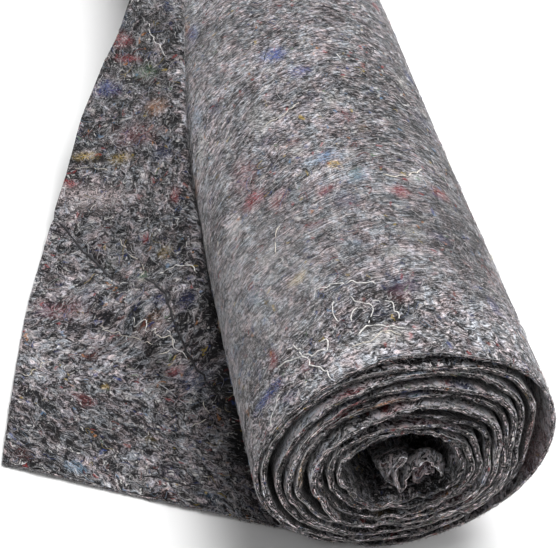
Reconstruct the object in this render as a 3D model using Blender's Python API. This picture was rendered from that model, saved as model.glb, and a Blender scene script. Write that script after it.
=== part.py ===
"""Roll of protective fleece: one length of recycled felt wound without a core, lying on its loose end.

The loose end passes under the roll. At the near end it is peeled off and lies flat on the floor, turned a
little away from square. Further along it climbs the side of the roll, folds over and leans outwards.
The origin is on the floor under the roll's axis, halfway along it. +Y runs along the axis away from the
near end, +X to the right, +Z up. The loose end lies on the -X side.
"""
import math
from collections import namedtuple

import bmesh
import bpy

# Driving dimensions in metres
ROLL_LENGTH = 1.0
ROLL_RADIUS = 0.122
CLOTH_THICKNESS = 0.004
FLAT_SPOT_DEPTH = 0.002
UNEVENNESS = 0.0012

# The eye of the roll: an oval that leans to the right, below the middle of the roll's height
EYE_HALF_WIDTH = 0.051
EYE_HALF_HEIGHT = 0.037
EYE_LEAN_DEGREES = -22.0
EYE_CENTRE_X = -0.006
EYE_CENTRE_Z = 0.112

# The crumpled inner tail that fills the bottom of the eye at the near end
TAIL_HEIGHT = 0.036
TAIL_HALF_WIDTH = 0.026
TAIL_CENTRE_X = 0.006
TAIL_LENGTH = 0.150

# The gaps between the main turns, as a spiral groove in each end of the roll
GROOVE_TURNS = 6
GROOVE_WIDTH = 0.0032
GROOVE_DEPTH = 0.022
GROOVE_STEPS_PER_TURN = 24
GROOVE_INNER_SHARE = 0.10
GROOVE_OUTER_SHARE = 0.945
CUT_OVERRUN = 0.010

# How far the loose end clings to the roll's side, and where its cut edge lies.
# from_near: place along the roll where the cloth leaves it, from the near end
# cling: angle up the roll's side, in degrees from the bottom
# out, along, height: place of the cut edge, left of the axis, from the near end, above the floor
# slope: how much of the lean is left at the cut edge, 0 where it lies flat and 1 where it is straight
Station = namedtuple("Station", "from_near cling out along height slope")
LOOSE_END = (
    Station(0.000, 0, 0.296, 0.098, 0.000, 0.0),
    Station(0.060, 4, 0.287, 0.157, 0.000, 0.0),
    Station(0.120, 32, 0.277, 0.216, 0.000, 0.0),
    Station(0.180, 66, 0.266, 0.274, 0.000, 0.0),
    Station(0.250, 82, 0.246, 0.350, 0.004, 0.1),
    Station(0.325, 88, 0.223, 0.420, 0.032, 0.5),
    Station(0.410, 99, 0.194, 0.504, 0.072, 0.8),
    Station(0.515, 112, 0.145, 0.612, 0.126, 0.9),
    Station(0.640, 124, 0.122, 0.725, 0.170, 0.9),
    Station(0.780, 132, 0.107, 0.845, 0.196, 0.9),
    Station(1.000, 140, 0.092, 1.015, 0.212, 0.9),
)
SHOULDER_RISE = 0.026
LANDING_REACH = 0.55
PEEL_GAP = 0.0025

# Soft ridges across the loose end, each between two places on the floor, as (left of axis, from near end)
Ridge = namedtuple("Ridge", "start_out start_along end_out end_along height half_width")
RIDGES = (
    Ridge(0.215, 0.268, 0.110, 0.200, 0.009, 0.020),
    Ridge(0.235, 0.425, 0.150, 0.300, 0.005, 0.016),
)

# Mesh steps
SECTIONS = 30
BODY_STEPS = 40
CLING_STEPS = 9
PEEL_STEPS = 15
EYE_STEPS = 36

AXIS_HEIGHT = ROLL_RADIUS - FLAT_SPOT_DEPTH
FLAT_ANGLE = math.acos(AXIS_HEIGHT / ROLL_RADIUS)
FLAT_HALF_WIDTH = ROLL_RADIUS * math.sin(FLAT_ANGLE)
NEAR_Y = -ROLL_LENGTH / 2


def clear_scene():
    for thing in list(bpy.data.objects):
        bpy.data.objects.remove(thing)


def new_collection(name):
    collection = bpy.data.collections.new(name)
    bpy.context.scene.collection.children.link(collection)
    return collection


def felt_material():
    """Grey felt pressed from mixed waste fibres."""
    material = bpy.data.materials.new("grey_felt")
    material.use_nodes = True
    shader = material.node_tree.nodes["Principled BSDF"]
    shader.inputs["Base Color"].default_value = (0.19, 0.18, 0.19, 1.0)
    shader.inputs["Roughness"].default_value = 0.95
    shader.inputs["Metallic"].default_value = 0.0
    return material


def object_from_bmesh(mesh_name, shape, collection):
    bmesh.ops.recalc_face_normals(shape, faces=shape.faces)
    mesh = bpy.data.meshes.new(mesh_name)
    shape.to_mesh(mesh)
    shape.free()
    thing = bpy.data.objects.new(mesh_name, mesh)
    collection.objects.link(thing)
    return thing


def smooth_column(name, from_near):
    """One column of LOOSE_END at a place along the roll, on a smooth curve through its rows."""
    rows = LOOSE_END
    last = len(rows) - 1
    index = 0
    while index < last - 1 and from_near > rows[index + 1].from_near:
        index += 1
    low, high = rows[index], rows[index + 1]
    step = high.from_near - low.from_near
    share = (from_near - low.from_near) / step
    before, after = rows[max(index - 1, 0)], rows[min(index + 2, last)]
    slope_low = (getattr(high, name) - getattr(before, name)) / (high.from_near - before.from_near)
    slope_high = (getattr(after, name) - getattr(low, name)) / (after.from_near - low.from_near)
    square, cube = share ** 2, share ** 3
    return (
        (2 * cube - 3 * square + 1) * getattr(low, name)
        + (cube - 2 * square + share) * step * slope_low
        + (3 * square - 2 * cube) * getattr(high, name)
        + (cube - square) * step * slope_high
    )


def body_radius(angle, y):
    """Radius of the wound body. It grows by one thickness over the last turn, and is a little uneven."""
    share = angle / (2 * math.pi)
    waves = math.sin(2 * angle + 5 * y) + 0.6 * math.sin(5 * angle - 11 * y + 1.3)
    fade = math.sin(math.pi * share)
    return ROLL_RADIUS - CLOTH_THICKNESS * (1 - share) + UNEVENNESS * fade * waves


def on_roll(angle, radius):
    """Point at an angle from the bottom, clockwise seen from the near end, kept above the floor."""
    return -radius * math.sin(angle), max(0.0, AXIS_HEIGHT - radius * math.cos(angle))


def bezier(points, share):
    rest = 1 - share
    weights = (rest ** 3, 3 * rest ** 2 * share, 3 * rest * share ** 2, share ** 3)
    return tuple(sum(w * p[axis] for w, p in zip(weights, points)) for axis in (0, 1))


def middle_line(from_near):
    """Middle of the loose end's thickness across the roll: up the roll's side, over and out to the cut edge."""
    half = CLOTH_THICKNESS / 2
    cling = math.radians(max(0.0, smooth_column("cling", from_near)))
    radius = ROLL_RADIUS - half
    arc_steps, free_steps = 24, 60
    line = []
    for step in range(arc_steps):
        x, z = on_roll(cling * step / arc_steps, radius)
        line.append((x, max(z, half)))
    x, z = on_roll(cling, radius)
    start = (x, max(z, half))
    tip = (-smooth_column("out", from_near), max(0.0, smooth_column("height", from_near)) + half)
    slope = min(1.0, max(0.0, smooth_column("slope", from_near)))
    rise = (start[0] - SHOULDER_RISE * math.cos(cling), start[1] + SHOULDER_RISE * math.sin(cling))
    landing = (
        tip[0] + LANDING_REACH * (start[0] - tip[0]),
        tip[1] + LANDING_REACH * (start[1] - tip[1]) * slope,
    )
    for step in range(free_steps + 1):
        line.append(bezier((start, rise, landing, tip), step / free_steps))
    return line


def ridge_height(x, from_near):
    """Height that the soft ridges add to the loose end at a place on the floor."""
    total = 0.0
    for ridge in RIDGES:
        ax, ay = -ridge.start_out, ridge.start_along
        bx, by = -ridge.end_out - ax, ridge.end_along - ay
        share = ((x - ax) * bx + (from_near - ay) * by) / (bx * bx + by * by)
        share = min(1.0, max(0.0, share))
        distance = math.hypot(x - ax - share * bx, from_near - ay - share * by)
        total += ridge.height * math.exp(-(distance / ridge.half_width) ** 2)
    return total


def lengths_along(line):
    total = [0.0]
    for before, after in zip(line, line[1:]):
        total.append(total[-1] + math.dist(before, after))
    return total


def point_at(line, lengths, distance):
    """Point and direction of travel at a distance along a line."""
    index = 0
    while index < len(line) - 2 and distance > lengths[index + 1]:
        index += 1
    step = lengths[index + 1] - lengths[index]
    share = (distance - lengths[index]) / step if step > 0 else 0.0
    (ax, az), (bx, bz) = line[index], line[index + 1]
    travel = ((bx - ax) / step, (bz - az) / step) if step > 0 else (-1.0, 0.0)
    return (ax + share * (bx - ax), az + share * (bz - az)), travel


def sides(point, travel):
    """The two faces of the cloth at a point of its middle line: the one towards the roll, the other one."""
    half = CLOTH_THICKNESS / 2
    inner = (point[0] + half * travel[1], point[1] - half * travel[0])
    outer = (point[0] - half * travel[1], point[1] + half * travel[0])
    lift = max(0.0, -outer[1])
    return (inner[0], inner[1] + lift), (outer[0], outer[1] + lift)


def peel_distance(line, lengths, y):
    """Distance along the middle line where the cloth has come clear of the wound body."""
    for distance in lengths[1:]:
        point, travel = point_at(line, lengths, distance)
        x, z = sides(point, travel)[0]
        angle = math.atan2(-x, AXIS_HEIGHT - z)
        if math.hypot(x, z - AXIS_HEIGHT) > body_radius(angle, y) + PEEL_GAP and distance > PEEL_GAP:
            return distance
    return lengths[-1] / 2


def section_ring(from_near):
    """Closed ring of points round the body and the loose end, the cut edge first."""
    y = NEAR_Y + from_near
    line = middle_line(from_near)
    lengths = lengths_along(line)
    peel = peel_distance(line, lengths, y)
    shift = smooth_column("along", from_near) - from_near
    inner_face, outer_face = [], []
    for step in range(PEEL_STEPS + 1):
        share = step / PEEL_STEPS
        distance = peel + (lengths[-1] - peel) * share ** 1.35
        point, travel = point_at(line, lengths, distance)
        inner, outer = sides(point, travel)
        plan_share = (distance - peel) / (lengths[-1] - peel)
        place = from_near + shift * plan_share
        fade = min(1.0, plan_share * 4)
        lift = ridge_height(point[0], place) * fade
        inner_face.append((inner[0], NEAR_Y + place, inner[1] + lift))
        outer_face.append((outer[0], NEAR_Y + place, outer[1] + lift))
    clinging = []
    for step in range(CLING_STEPS):
        distance = FLAT_HALF_WIDTH + (peel - FLAT_HALF_WIDTH) * step / CLING_STEPS
        point, travel = point_at(line, lengths, distance)
        x, z = sides(point, travel)[1]
        clinging.append((x, y, z))
    first_x, _, first_z = inner_face[0]
    first_angle = math.atan2(-first_x, AXIS_HEIGHT - first_z)
    last_angle = 2 * math.pi - FLAT_ANGLE
    body = []
    for step in range(BODY_STEPS + 1):
        angle = first_angle + (last_angle - first_angle) * step / BODY_STEPS
        x, z = on_roll(angle, body_radius(angle, y))
        body.append((x, y, z))
    return list(reversed(inner_face)) + body + clinging + outer_face


def fleece_mesh():
    """The wound body and the loose end as one loft along the roll, closed at both ends."""
    shape = bmesh.new()
    rings = []
    for index in range(SECTIONS + 1):
        from_near = ROLL_LENGTH * (index / SECTIONS) ** 1.15
        rings.append([shape.verts.new(point) for point in section_ring(from_near)])
    count = len(rings[0])
    for near, far in zip(rings, rings[1:]):
        for index in range(count):
            after = (index + 1) % count
            shape.faces.new((near[index], near[after], far[after], far[index]))
    for ring in (rings[0], rings[-1]):
        shape.faces.new(ring[PEEL_STEPS:count - PEEL_STEPS])
        for index in range(PEEL_STEPS):
            mirror = count - 1 - index
            shape.faces.new((ring[index], ring[index + 1], ring[mirror - 1], ring[mirror]))
    return shape


def eye_point(angle, y):
    """Point of the eye's wall, with the crumpled tail rising from its bottom near the near end."""
    lean = math.radians(EYE_LEAN_DEGREES)
    across = EYE_HALF_WIDTH * math.cos(angle)
    up = EYE_HALF_HEIGHT * math.sin(angle)
    x = EYE_CENTRE_X + across * math.cos(lean) - up * math.sin(lean)
    z = EYE_CENTRE_Z + across * math.sin(lean) + up * math.cos(lean)
    if math.sin(angle) < 0:
        depth = max(0.0, y - NEAR_Y)
        fade = max(0.0, 1 - depth / TAIL_LENGTH)
        z += TAIL_HEIGHT * fade * math.exp(-((x - TAIL_CENTRE_X) / TAIL_HALF_WIDTH) ** 4)
    return x, z


def eye_cutter(collection):
    """Closed oval bar that cuts the eye right through the roll."""
    shape = bmesh.new()
    places = (-CUT_OVERRUN, 0.0, 0.03, 0.06, 0.10, TAIL_LENGTH, 0.5, ROLL_LENGTH + CUT_OVERRUN)
    rings = []
    for place in places:
        ring = []
        for step in range(EYE_STEPS):
            x, z = eye_point(2 * math.pi * step / EYE_STEPS, NEAR_Y + place)
            ring.append(shape.verts.new((x, NEAR_Y + place, z)))
        rings.append(ring)
    for near, far in zip(rings, rings[1:]):
        for index in range(EYE_STEPS):
            after = (index + 1) % EYE_STEPS
            shape.faces.new((near[index], near[after], far[after], far[index]))
    shape.faces.new(rings[0])
    shape.faces.new(rings[-1])
    return object_from_bmesh("eye_cutter", shape, collection)


def turn_point(angle, share):
    """Point between the eye and the outside, share 0 to 1, at an angle clockwise from the bottom."""
    direction = (-math.sin(angle), -math.cos(angle))
    lean = math.radians(EYE_LEAN_DEGREES)
    across = direction[0] * math.cos(lean) + direction[1] * math.sin(lean)
    up = -direction[0] * math.sin(lean) + direction[1] * math.cos(lean)
    reach = 1 / math.hypot(across / EYE_HALF_WIDTH, up / EYE_HALF_HEIGHT)
    eye_x, eye_z = EYE_CENTRE_X + reach * direction[0], EYE_CENTRE_Z + reach * direction[1]
    rim_x, rim_z = on_roll(angle, ROLL_RADIUS)
    return eye_x + share * (rim_x - eye_x), eye_z + share * (rim_z - eye_z)


def groove_cutter(name, end_y, inwards, collection):
    """Closed spiral wall that cuts the gap between the main turns into one end of the roll."""
    shape = bmesh.new()
    steps = GROOVE_TURNS * GROOVE_STEPS_PER_TURN
    middle = []
    for step in range(steps + 1):
        along = step / steps
        share = GROOVE_INNER_SHARE + (GROOVE_OUTER_SHARE - GROOVE_INNER_SHARE) * along
        middle.append(turn_point(2 * math.pi * GROOVE_TURNS * along, share))
    rings = []
    for step, (x, z) in enumerate(middle):
        before, after = middle[max(step - 1, 0)], middle[min(step + 1, steps)]
        length = math.dist(before, after)
        side_x = (after[1] - before[1]) / length * GROOVE_WIDTH / 2
        side_z = -(after[0] - before[0]) / length * GROOVE_WIDTH / 2
        outside = end_y - inwards * CUT_OVERRUN
        inside = end_y + inwards * GROOVE_DEPTH
        rings.append([
            shape.verts.new((x - side_x, outside, z - side_z)),
            shape.verts.new((x + side_x, outside, z + side_z)),
            shape.verts.new((x + side_x, inside, z + side_z)),
            shape.verts.new((x - side_x, inside, z - side_z)),
        ])
    for near, far in zip(rings, rings[1:]):
        for index in range(4):
            after = (index + 1) % 4
            shape.faces.new((near[index], near[after], far[after], far[index]))
    shape.faces.new(rings[0])
    shape.faces.new(rings[-1])
    return object_from_bmesh(name, shape, collection)


def cut_with(thing, cutter):
    cutter.hide_render = True
    cutter.display_type = "WIRE"
    modifier = thing.modifiers.new(cutter.name, "BOOLEAN")
    modifier.operation = "DIFFERENCE"
    modifier.solver = "EXACT"
    modifier.object = cutter


def main():
    clear_scene()
    parts = new_collection("fleece_roll")
    cutters = new_collection("cutters")
    fleece = object_from_bmesh("wound_fleece", fleece_mesh(), parts)
    fleece.data.materials.append(felt_material())
    fleece.data.shade_smooth()
    fleece.data.set_sharp_from_angle(angle=math.radians(40))
    cut_with(fleece, eye_cutter(cutters))
    cut_with(fleece, groove_cutter("near_groove_cutter", NEAR_Y, 1, cutters))
    cut_with(fleece, groove_cutter("far_groove_cutter", -NEAR_Y, -1, cutters))


main()
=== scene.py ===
"""Looks of a roll of protective fleece: the wound felt, its loose outer end and its crumpled inner tail."""

import math
from collections import namedtuple

import bpy
import numpy as np
from mathutils import Matrix, Vector


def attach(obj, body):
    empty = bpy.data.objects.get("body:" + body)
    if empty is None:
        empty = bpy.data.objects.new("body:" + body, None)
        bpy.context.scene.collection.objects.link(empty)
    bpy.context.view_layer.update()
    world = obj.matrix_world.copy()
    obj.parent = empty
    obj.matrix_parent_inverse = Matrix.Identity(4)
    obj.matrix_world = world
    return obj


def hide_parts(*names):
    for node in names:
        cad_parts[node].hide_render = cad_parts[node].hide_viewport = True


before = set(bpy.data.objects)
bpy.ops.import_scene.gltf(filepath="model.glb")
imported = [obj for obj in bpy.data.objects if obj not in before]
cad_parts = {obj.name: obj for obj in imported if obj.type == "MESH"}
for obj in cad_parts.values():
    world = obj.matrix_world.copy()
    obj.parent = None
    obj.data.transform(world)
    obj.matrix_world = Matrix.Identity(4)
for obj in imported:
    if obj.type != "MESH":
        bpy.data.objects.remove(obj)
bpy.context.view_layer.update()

# Sizes shared with the solid, in metres. +Y runs along the roll, the loose end lies on the -X side
ROLL_LENGTH = 1.0
ROLL_RADIUS = 0.122
CLOTH_THICKNESS = 0.004
FLAT_SPOT_DEPTH = 0.002
UNEVENNESS = 0.0012
EYE_HALF_WIDTH = 0.056
EYE_HALF_HEIGHT = 0.046
EYE_LEAN_DEGREES = -22.0
EYE_CENTRE_X = -0.001
EYE_CENTRE_Z = 0.117
AXIS_HEIGHT = ROLL_RADIUS - FLAT_SPOT_DEPTH
NEAR_Y = -ROLL_LENGTH / 2

# The loose end from the near end to the far end: how far up the roll's side it clings, in degrees from the
# bottom, then where its cut edge lies: outwards from the axis, along from the near end and above the floor
Station = namedtuple("Station", "from_near cling out along height slope")
LOOSE_END = (
    Station(0.000, 0, 0.296, 0.098, 0.000, 0.0),
    Station(0.060, 4, 0.287, 0.157, 0.000, 0.0),
    Station(0.120, 32, 0.277, 0.216, 0.000, 0.0),
    Station(0.180, 66, 0.266, 0.274, 0.000, 0.0),
    Station(0.250, 82, 0.246, 0.350, 0.004, 0.1),
    Station(0.325, 88, 0.223, 0.420, 0.032, 0.5),
    Station(0.410, 99, 0.194, 0.504, 0.072, 0.8),
    Station(0.515, 112, 0.145, 0.612, 0.126, 0.9),
    Station(0.640, 124, 0.122, 0.725, 0.170, 0.9),
    Station(0.780, 132, 0.107, 0.845, 0.196, 0.9),
    Station(1.000, 140, 0.092, 1.015, 0.212, 0.9),
)
# How far the loose end's free curve runs on from where it leaves the roll, and how far back from the cut edge
# it lands, as a share of the way
SHOULDER_RISE = 0.026
LANDING_REACH = 0.55
# Soft ridges (+) and troughs (-), each between two places. These two lie across the loose end, with places as
# x and the distance from the near end
Fold = namedtuple("Fold", "start end height half_width")
RIDGES = (
    Fold((-0.215, 0.268), (-0.110, 0.200), 0.009, 0.020),
    Fold((-0.235, 0.425), (-0.150, 0.300), 0.005, 0.016),
)
EDGE_BOW = 0.0022

# Winding, counted inwards from the bottom of the outermost turn
TURNS = 9.4
STEPS_PER_TURN = 120
OUTER_STEPS = 132
LOOSE_STEPS = 104
SWELL = 1.27
TIGHT_PITCH = 1.09 * SWELL * CLOTH_THICKNESS

# Wider gaps between turns, as (turn, degrees clockwise from the bottom, spread in degrees, metres)
Gap = namedtuple("Gap", "turn place spread extra")
GAPS = (
    Gap(1.5, 260, 28, 0.0125),
    Gap(2.5, 254, 22, 0.0050),
    Gap(6.5, 190, 46, 0.0055),
    Gap(4.5, 150, 38, 0.0020),
    Gap(2.5, 100, 24, 0.0030),
    Gap(4.5, 60, 13, 0.0045),
    Gap(3.5, 84, 14, 0.0022),
    Gap(5.5, 66, 16, 0.0020),
    Gap(3.5, 205, 16, 0.0020),
    Gap(7.5, 236, 20, 0.0030),
)

# Places where one pass of a turn is buckled inwards (+) or outwards (-), as (turn, degrees, spread, metres)
Buckle = namedtuple("Buckle", "turn place spread depth")
BUCKLES = (
    Buckle(3.5, 58, 6, 0.0034),
    Buckle(4.5, 70, 8, -0.0020),
    Buckle(2.5, 98, 9, 0.0014),
    Buckle(5.5, 62, 7, 0.0016),
    Buckle(2.5, 214, 7, 0.0012),
    Buckle(1.5, 224, 8, 0.0016),
    Buckle(5.5, 148, 7, 0.0018),
    Buckle(7.5, 44, 8, 0.0014),
    Buckle(8.5, 62, 7, 0.0020),
    Buckle(7.5, 226, 8, -0.0014),
    Buckle(3.5, 300, 9, -0.0008),
)

# How far each turn's near end stands in (+) or out (-), in metres, by turns in from the outside
NEAR_OFFSETS = (
    (0.0, 0.0), (0.5, -0.0004), (0.75, 0.0010), (1.0, 0.0015), (1.25, 0.0040), (1.5, -0.0030),
    (2.0, -0.0015), (2.5, -0.0052), (3.0, -0.0030), (3.5, -0.0085), (4.0, -0.0065), (4.5, -0.0088),
    (5.0, -0.0080), (5.5, -0.0150), (6.0, -0.0125), (6.5, -0.0080), (7.0, -0.0085), (7.5, -0.0125),
    (8.0, -0.0100), (8.5, -0.0125), (9.0, -0.0090), (9.6, -0.0070),
)

# Layers of unevenness, as (height in metres, seed, number of waves, wavelength)
SIDE_RELIEF = ((0.0006, 11, 7, 0.16),)
NEAR_EDGE_WANDER = ((0.0012, 5, 5, 0.42), (0.0006, 6, 5, 0.09), (0.0005, 9, 6, 0.028))
FAR_EDGE_WANDER = ((0.0022, 7, 5, 0.9), (0.0006, 8, 5, 0.1))
LOOSE_SWELL = ((0.0011, 31, 7, 0.11), (0.0006, 32, 7, 0.035))
TAIL_SIDEWAYS = ((0.0010, 41, 8, 0.035), (0.0007, 44, 8, 0.012))
TAIL_UPWARDS = ((0.0012, 42, 8, 0.030), (0.0008, 45, 8, 0.012))
TAIL_EDGE_WANDER = ((0.0025, 43, 5, 0.30),)


def waves(seed, count, size, *places):
    """Smooth uneven values of about -1 to 1 over one or two coordinates, at about the given wavelength."""
    numbers = np.random.default_rng(seed)
    total = np.zeros(np.broadcast(*places).shape) if len(places) > 1 else np.zeros(np.shape(places[0]))
    for _ in range(count):
        heading = numbers.uniform(0, 2 * math.pi)
        wavelength = size * numbers.uniform(0.6, 1.7)
        phase = numbers.uniform(0, 2 * math.pi)
        if len(places) > 1:
            run = math.cos(heading) * places[0] + math.sin(heading) * places[1]
        else:
            run = places[0]
        total = total + np.sin(2 * math.pi * run / wavelength + phase)
    return total / math.sqrt(count)


def layered(layers, *places):
    """The sum of several layers of unevenness."""
    return sum(height * waves(seed, count, size, *places) for height, seed, count, size in layers)


def metres(lengths):
    return [length / 1000 for length in lengths]


def curve_point(low, high, slope_low, slope_high, share):
    """A point of the smooth curve between two points, from its slopes there."""
    square, cube = share ** 2, share ** 3
    return (
        (2 * cube - 3 * square + 1) * low + (cube - 2 * square + share) * slope_low
        + (3 * square - 2 * cube) * high + (cube - square) * slope_high
    )


def table_value(rows, name, place):
    """One column of a table at a place, on a smooth curve through its rows."""
    last = len(rows) - 1
    index = 0
    while index < last - 1 and place > rows[index + 1].from_near:
        index += 1
    low, high = rows[index], rows[index + 1]
    step = high.from_near - low.from_near
    before, after = rows[max(index - 1, 0)], rows[min(index + 2, last)]
    slope_low = (getattr(high, name) - getattr(before, name)) / (high.from_near - before.from_near)
    slope_high = (getattr(after, name) - getattr(low, name)) / (after.from_near - low.from_near)
    share = (place - low.from_near) / step
    return curve_point(getattr(low, name), getattr(high, name), step * slope_low, step * slope_high, share)


def on_roll(angle, radius):
    """Points at angles from the bottom, clockwise seen from the near end, kept above the floor."""
    return -radius * np.sin(angle), np.maximum(0.0, AXIS_HEIGHT - radius * np.cos(angle))


def unevenness(angle, y):
    """How far the roll's outside stands out at a place: the solid's own waves and a little softer relief."""
    angle = np.mod(angle, 2 * math.pi)
    fade = np.sin(angle / 2)
    solid = np.sin(2 * angle + 5 * y) + 0.6 * np.sin(5 * angle - 11 * y + 1.3)
    return fade * (UNEVENNESS * solid + layered(SIDE_RELIEF, angle * ROLL_RADIUS, 0.6 * y))


def eye_wall(angle):
    """Points of the eye's wall at angles clockwise from the bottom."""
    lean = math.radians(EYE_LEAN_DEGREES)
    side, rise = -np.sin(angle), -np.cos(angle)
    across = side * math.cos(lean) + rise * math.sin(lean)
    up = -side * math.sin(lean) + rise * math.cos(lean)
    reach = 1 / np.hypot(across / EYE_HALF_WIDTH, up / EYE_HALF_HEIGHT)
    return EYE_CENTRE_X + reach * side, EYE_CENTRE_Z + reach * rise


def gap_share(turn):
    """Uneven share of the room between turns, the same at the first and the last full turn."""
    cycle = 2 * math.pi * turn / 8
    uneven = (
        0.45 * np.sin(3 * cycle + 0.7) + 0.50 * np.sin(11 * cycle + 2.1)
        + 0.40 * np.sin(19 * cycle + 4.4) + 0.22 * np.sin(37 * cycle + 1.0)
    )
    return np.maximum(0.04, 1 + uneven)


def winding_depths():
    """Depth below the outside of each step of the winding, and the angle of each step."""
    steps = int(TURNS * STEPS_PER_TURN)
    turn = np.arange(steps + 1) / STEPS_PER_TURN
    angle = 2 * math.pi * (1 - np.mod(turn, 1.0))
    degrees = np.degrees(angle)
    extra = np.zeros(steps + 1)
    for gap in GAPS:
        near_turn = np.abs(turn - gap.turn - (1 - gap.place / 360.0) + 0.5) < 0.5
        extra += np.where(near_turn, gap.extra * np.exp(-((degrees - gap.place) / gap.spread) ** 2), 0)
    ease = np.clip((turn - 1.0) / 0.15, 0, 1)
    share = gap_share(turn) * (ease * ease * (3 - 2 * ease))
    rim_x, rim_z = on_roll(angle, ROLL_RADIUS)
    wall_x, wall_z = eye_wall(angle)
    room = np.hypot(rim_x - wall_x, rim_z - wall_z)
    depth = np.zeros(steps + 1)
    depth[:STEPS_PER_TURN] = CLOTH_THICKNESS * (0.5 + turn[:STEPS_PER_TURN])
    scale = np.zeros(STEPS_PER_TURN)
    for slot in range(STEPS_PER_TURN):
        full = slice(STEPS_PER_TURN + slot, 9 * STEPS_PER_TURN + slot, STEPS_PER_TURN)
        inner = full if full.stop <= steps + STEPS_PER_TURN else slice(full.start, steps + 1, STEPS_PER_TURN)
        count = len(turn[inner])
        free = room[slot] - depth[slot] - count * TIGHT_PITCH - extra[inner].sum()
        scale[slot] = max(0.0, free) / max(1e-6, share[inner].sum())
    smooth = np.zeros(STEPS_PER_TURN)
    for shift in range(-4, 5):
        smooth += np.roll(scale, shift) / 9
    for step in range(STEPS_PER_TURN, steps + 1):
        pitch = TIGHT_PITCH + extra[step] + smooth[step % STEPS_PER_TURN] * share[step]
        depth[step] = depth[step - STEPS_PER_TURN] + pitch
    return turn, angle, depth, room


def near_offset(turn):
    table = np.array(NEAR_OFFSETS)
    base = np.interp(turn, table[:, 0], table[:, 1])
    ease = np.clip(turn / 0.6, 0, 1)
    return base + ease * layered(NEAR_EDGE_WANDER, turn)


def far_offset(turn):
    ease = np.clip(turn / 0.6, 0, 1)
    return ease * (0.0006 * turn + layered(FAR_EDGE_WANDER, turn))


def ripple(turn, angle):
    """Waviness of the innermost turns, most of it at the bottom, the same on each so that they nest."""
    wavy = 0.5 * np.sin(9 * angle + 0.4) + 0.35 * np.sin(14 * angle + 2.0) + 0.3 * np.sin(23 * angle + 1.1)
    return 0.0016 * wavy * np.clip((turn - 4) / 5, 0, 1) * (0.25 + 0.75 * (1 + np.cos(angle)) / 2)


def buckled(turn, angle):
    """How far inwards the buckles push each step of the winding."""
    degrees = np.degrees(angle)
    total = np.zeros(turn.shape)
    for buckle in BUCKLES:
        passing = np.abs(turn - buckle.turn - (1 - buckle.place / 360) + 0.5) < 0.5
        total += np.where(passing, buckle.depth * np.exp(-((degrees - buckle.place) / buckle.spread) ** 2), 0)
    return total


def wound_points(turn, angle, depth, room, columns):
    """Middle of the cloth's thickness for the winding, a row for each step and a column for each place."""
    share = columns[None, :]
    offset = near_offset(turn)[:, None] * (1 - share) + far_offset(turn)[:, None] * share
    y = NEAR_Y + ROLL_LENGTH * share + offset
    rim_x, rim_z = on_roll(angle, ROLL_RADIUS)
    wall_x, wall_z = eye_wall(angle)
    relief = unevenness(angle[:, None], y) * np.exp(-np.maximum(0, turn[:, None] - 1) / 2)
    inward = (depth[:, None] - relief + (ripple(turn, angle) + buckled(turn, angle))[:, None]) / room[:, None]
    x = rim_x[:, None] + inward * (wall_x - rim_x)[:, None]
    z = rim_z[:, None] + inward * (wall_z - rim_z)[:, None]
    return np.stack([x, y, z], axis=-1)


def bezier(points, share):
    rest = 1 - share
    weights = (rest ** 3, 3 * rest ** 2 * share, 3 * rest * share ** 2, share ** 3)
    return [sum(w * p[axis] for w, p in zip(weights, points)) for axis in (0, 1)]


def folded(folds, x, y):
    """Height that soft folds add at places, each fading away on both sides of its line."""
    total = np.zeros(np.shape(x))
    for fold in folds:
        (start_x, start_y), (end_x, end_y) = fold.start, fold.end
        run, step = end_x - start_x, end_y - start_y
        share = np.clip(((x - start_x) * run + (y - start_y) * step) / (run ** 2 + step ** 2), 0, 1)
        away = np.hypot(x - start_x - share * run, y - start_y - share * step)
        total += fold.height * np.exp(-(away / fold.half_width) ** 2)
    return total


def loose_column(from_near, shares):
    """Middle of the loose end's thickness at one place along the roll, from the cut edge to the bottom."""
    half = CLOTH_THICKNESS / 2
    cling = math.radians(max(0.0, table_value(LOOSE_END, "cling", from_near)))
    angles = np.linspace(0, cling, 40)[:-1]
    y = NEAR_Y + from_near
    grown = ROLL_RADIUS - half + CLOTH_THICKNESS * angles / (2 * math.pi) + unevenness(angles, y)
    arc_x, arc_z = on_roll(angles, grown)
    radius = ROLL_RADIUS - half + CLOTH_THICKNESS * cling / (2 * math.pi) + float(unevenness(cling, y))
    start = [float(value) for value in on_roll(cling, radius)]
    start[1] = max(start[1], half)
    height = max(0.0, table_value(LOOSE_END, "height", from_near))
    tip = (-table_value(LOOSE_END, "out", from_near), height + half)
    slope = min(1.0, max(0.0, table_value(LOOSE_END, "slope", from_near)))
    rise = (start[0] - SHOULDER_RISE * math.cos(cling), start[1] + SHOULDER_RISE * math.sin(cling))
    landing = (
        tip[0] + LANDING_REACH * (start[0] - tip[0]),
        tip[1] + LANDING_REACH * (start[1] - tip[1]) * slope,
    )
    free_x, free_z = bezier((start, rise, landing, tip), np.linspace(0, 1, 80))
    x = np.concatenate([arc_x, free_x])
    z = np.maximum(np.concatenate([arc_z, free_z]), half)
    lengths = np.concatenate([[0], np.cumsum(np.hypot(np.diff(x), np.diff(z)))])
    clinging = lengths[len(arc_x)]
    wanted = lengths[-1] * (1 - shares)
    x, z = np.interp(wanted, lengths, x), np.interp(wanted, lengths, z)
    beyond = np.clip((wanted - clinging) / (lengths[-1] - clinging), 0, 1)
    place = from_near + (table_value(LOOSE_END, "along", from_near) - from_near) * beyond
    z = z + folded(RIDGES, x, place) * np.clip(4 * beyond, 0, 1)
    y = NEAR_Y + place - EDGE_BOW * np.sin(math.pi * beyond) * math.exp(-from_near / 0.12)
    return np.stack([x, y, z], axis=-1), beyond, -wanted


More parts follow.
